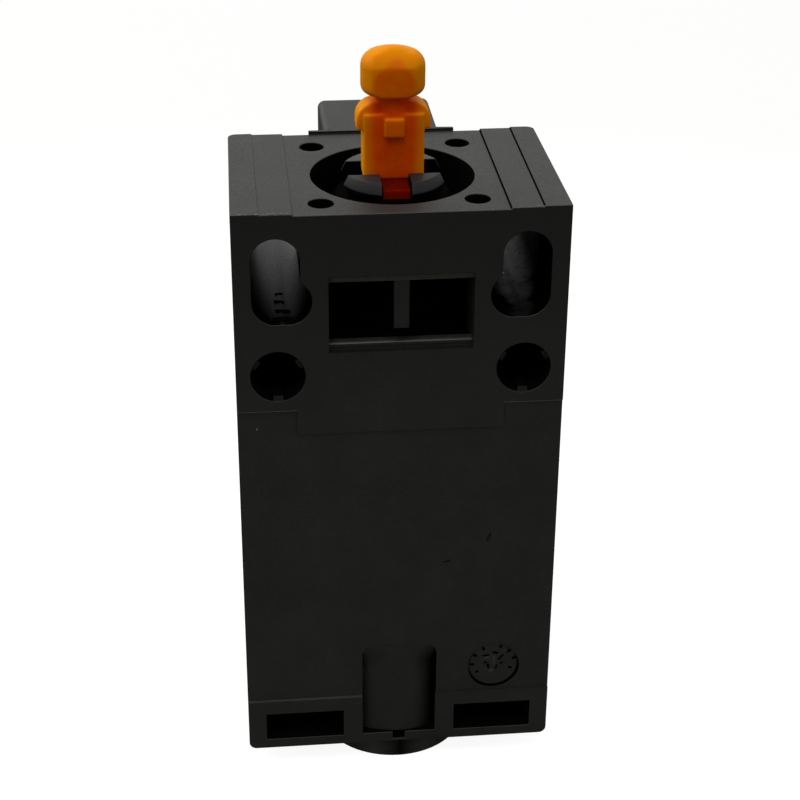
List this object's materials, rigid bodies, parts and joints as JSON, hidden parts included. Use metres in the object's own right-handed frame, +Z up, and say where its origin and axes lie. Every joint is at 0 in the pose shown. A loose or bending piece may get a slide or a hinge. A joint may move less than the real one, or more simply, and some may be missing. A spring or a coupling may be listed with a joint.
{
  "type": "door position switch",
  "caption": "Slim rectangular door position switch base with a sprung orange plunger, slotted panel fixings, a lift-off front cover and changeover contacts inside.",
  "frame": {"origin": "on the flat panel face, midway between the two locating stud holes", "axes": "+Z up along the plunger, -Y out of the panel face towards the mounting surface, +X to the right when the panel face is looked at"},
  "size_m": [0.0296, 0.0298, 0.07],
  "materials": {
    "housing_nylon": "fine moulded satin, black",
    "cover_nylon": "fine moulded satin, black",
    "guide_acetal": "smooth moulded, black",
    "plunger_acetal": "smooth moulded, orange",
    "rod_acetal": "smooth moulded, red orange",
    "block_polyester": "moulded, pale grey",
    "carrier_polyester": "moulded, red brown",
    "seal_rubber": "matt black",
    "gasket_rubber": "matt black",
    "terminal_brass": "stamped",
    "plated_steel": "zinc plated",
    "spring_steel": "drawn wire",
    "contact_silver": "silver alloy"
  },
  "bodies": {
    "base": {"housing": "housing_nylon", "guide_bush": "guide_acetal", "rod_seal": "seal_rubber", "cover_insert": "terminal_brass", "contact_block": "block_polyester", "contact_block_lid": "block_polyester", "block_screws": "plated_steel", "nc_terminal_left": "terminal_brass", "nc_terminal_right": "terminal_brass", "no_terminal_left": "terminal_brass", "no_terminal_right": "terminal_brass", "fixed_contacts": "contact_silver", "clamp_plates": "plated_steel", "terminal_screws": "plated_steel", "return_spring": "spring_steel"},
    "plunger": {"plunger_cap": "plunger_acetal", "push_rod": "rod_acetal", "guide_key": "rod_acetal", "contact_carrier": "carrier_polyester", "nc_contact_spring": "spring_steel", "no_contact_spring": "spring_steel"},
    "nc_contact": {"nc_bridge": "terminal_brass", "nc_bridge_contacts": "contact_silver"},
    "no_contact": {"no_bridge": "terminal_brass", "no_bridge_contacts": "contact_silver"},
    "cover": {"front_cover": "cover_nylon", "cover_gasket": "gasket_rubber", "cover_screw": "plated_steel", "cover_screw_washer": "gasket_rubber"}
  },
  "joints": [
    {"name": "plunger_slide", "type": "slide", "parent": "base", "child": "plunger", "axis": [0, 0, -1], "range_m": [0, 0.005], "stiffness_N_per_m": 600, "springref_m": -0.005, "deforming": ["return_spring"]},
    {"name": "nc_bridge_slide", "type": "slide", "parent": "base", "child": "nc_contact", "axis": [0, 0, -1], "range_m": [0, 0.003], "deforming": ["nc_contact_spring"]},
    {"name": "no_bridge_slide", "type": "slide", "parent": "base", "child": "no_contact", "axis": [0, 0, -1], "range_m": [0, 0.003], "deforming": ["no_contact_spring"]},
    {"name": "cover_lift", "type": "slide", "parent": "base", "child": "cover", "axis": [0, 1, 0], "range_m": [0, 0.04]}
  ],
  "couplings": [
    {"joint": "nc_bridge_slide", "follows": "plunger_slide", "ratio": 0.6},
    {"joint": "no_bridge_slide", "follows": "plunger_slide", "ratio": 0.6}
  ]
}
